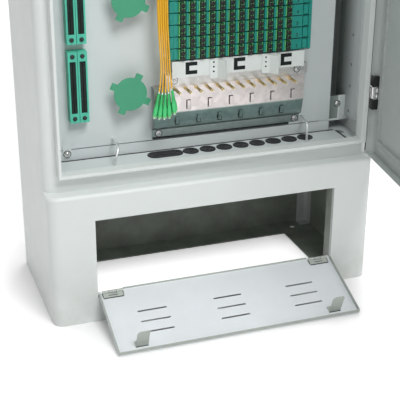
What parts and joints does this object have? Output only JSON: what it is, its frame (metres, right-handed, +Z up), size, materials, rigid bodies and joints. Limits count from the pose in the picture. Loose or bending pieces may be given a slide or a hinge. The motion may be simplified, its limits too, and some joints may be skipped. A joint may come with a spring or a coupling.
{
  "type": "roadside utility cabinet",
  "caption": "Grey roadside fibre cross-connect cabinet on a plinth, door open on splice trays, spools and pigtails, vent flap folded down.",
  "frame": {"origin": "on the ground, at the centre of the four anchor holes", "axes": "+Z up, +X to the right seen from the front, the door side faces -Y"},
  "size_m": [0.755, 1.0529, 1.75],
  "materials": {
    "cabinet_paint": "light grey powder coat, satin",
    "inner_paint": "cool grey powder coat, satin",
    "white_paint": "white powder coat",
    "galvanised_steel": "galvanised, dull",
    "bare_steel": "zinc plated, bright",
    "hinge_black": "black coat, satin",
    "black_rubber": "moulded, matte",
    "gasket_foam": "closed foam, matte",
    "parking_foam": "cut foam, matte",
    "tray_plastic": "moulded, satin",
    "parking_plastic": "moulded, satin",
    "brass": "turned",
    "pigtail_jacket": "smooth jacket",
    "plug_plastic": "moulded, gloss",
    "fanout_plastic": "moulded, matte"
  },
  "bodies": {
    "cabinet": {"side_back_wrap": "cabinet_paint", "front_frame": "cabinet_paint", "plinth_front": "cabinet_paint", "base_flange": "cabinet_paint", "floor_pan": "inner_paint", "roof_cap": "cabinet_paint", "gland_plate": "inner_paint", "cable_grommets": "black_rubber", "mounting_panel": "inner_paint", "panel_base_rail": "inner_paint", "panel_brackets": "galvanised_steel", "side_liner_left": "inner_paint", "side_liner_right": "inner_paint", "tray_rack": "galvanised_steel", "rack_rail": "galvanised_steel", "fibre_bracket": "white_paint", "fibre_guides": "white_paint", "cable_plate": "galvanised_steel", "brass_posts": "brass", "machine_screws": "bare_steel", "fibre_spools": "parking_plastic", "parking_frames": "parking_plastic", "parking_foams": "parking_foam", "wire_rods": "bare_steel", "hinge_body_leaves": "bare_steel", "flap_hinge_leaves": "galvanised_steel", "fanout_block": "fanout_plastic", "pigtail_connectors": "plug_plastic", "pigtail_1": "pigtail_jacket", "pigtail_2": "pigtail_jacket", "pigtail_3": "pigtail_jacket", "pigtail_4": "pigtail_jacket", "pigtail_5": "pigtail_jacket", "pigtail_6": "pigtail_jacket", "pigtail_7": "pigtail_jacket", "pigtail_8": "pigtail_jacket", "pigtail_9": "pigtail_jacket", "pigtail_10": "pigtail_jacket"},
    "door": {"door_panel": "cabinet_paint", "door_gasket": "gasket_foam", "door_stiffeners": "galvanised_steel", "hinge_door_leaves": "hinge_black", "hinge_pins": "bare_steel", "lock_escutcheon": "bare_steel", "rod_guides": "galvanised_steel"},
    "lock_turn": {"lock_handle": "hinge_black", "lock_cam": "bare_steel"},
    "upper_latch": {"upper_latch_rod": "galvanised_steel"},
    "lower_latch": {"lower_latch_rod": "galvanised_steel"},
    "flap": {"vent_flap": "cabinet_paint", "flap_clips": "galvanised_steel", "flap_hinge_pins": "bare_steel"},
    "tray_body_1": {"tray_1": "tray_plastic"},
    "tray_body_2": {"tray_2": "tray_plastic"},
    "tray_body_3": {"tray_3": "tray_plastic"},
    "tray_body_4": {"tray_4": "tray_plastic"},
    "tray_body_5": {"tray_5": "tray_plastic"},
    "tray_body_6": {"tray_6": "tray_plastic"},
    "tray_body_7": {"tray_7": "tray_plastic"},
    "tray_body_8": {"tray_8": "tray_plastic"}
  },
  "joints": [
    {"name": "door_hinge", "type": "hinge", "parent": "cabinet", "child": "door", "pos_m": [0.366, -0.152, 1.005], "axis": [0, 0, 1], "range_deg": [-82, 28]},
    {"name": "lock_handle_turn", "type": "hinge", "parent": "door", "child": "lock_turn", "pos_m": [0.27261, -0.81647, 0.96], "axis": [0.9903, -0.1392, 0], "range_deg": [-90, 0]},
    {"name": "upper_rod_slide", "type": "slide", "parent": "door", "child": "upper_latch", "axis": [0, 0, 1], "range_m": [0, 0.01697]},
    {"name": "lower_rod_slide", "type": "slide", "parent": "door", "child": "lower_latch", "axis": [0, 0, -1], "range_m": [0, 0.01697]},
    {"name": "flap_hinge", "type": "hinge", "parent": "cabinet", "child": "flap", "pos_m": [0, -0.164, 0.066], "axis": [1, 0, 0], "range_deg": [-111, 0]},
    {"name": "tray_1_slide", "type": "slide", "parent": "cabinet", "child": "tray_body_1", "axis": [0, -1, 0], "range_m": [0, 0.11]},
    {"name": "tray_2_slide", "type": "slide", "parent": "cabinet", "child": "tray_body_2", "axis": [0, -1, 0], "range_m": [0, 0.11]},
    {"name": "tray_3_slide", "type": "slide", "parent": "cabinet", "child": "tray_body_3", "axis": [0, -1, 0], "range_m": [0, 0.11]},
    {"name": "tray_4_slide", "type": "slide", "parent": "cabinet", "child": "tray_body_4", "axis": [0, -1, 0], "range_m": [0, 0.11]},
    {"name": "tray_5_slide", "type": "slide", "parent": "cabinet", "child": "tray_body_5", "axis": [0, -1, 0], "range_m": [0, 0.11]},
    {"name": "tray_6_slide", "type": "slide", "parent": "cabinet", "child": "tray_body_6", "axis": [0, -1, 0], "range_m": [0, 0.11]},
    {"name": "tray_7_slide", "type": "slide", "parent": "cabinet", "child": "tray_body_7", "axis": [0, -1, 0], "range_m": [0, 0.11]},
    {"name": "tray_8_slide", "type": "slide", "parent": "cabinet", "child": "tray_body_8", "axis": [0, -1, 0], "range_m": [0, 0.11]}
  ],
  "couplings": [
    {"joint": "upper_rod_slide", "follows": "lock_handle_turn", "m_per_rad": -0.010804},
    {"joint": "lower_rod_slide", "follows": "lock_handle_turn", "m_per_rad": -0.010804}
  ]
}
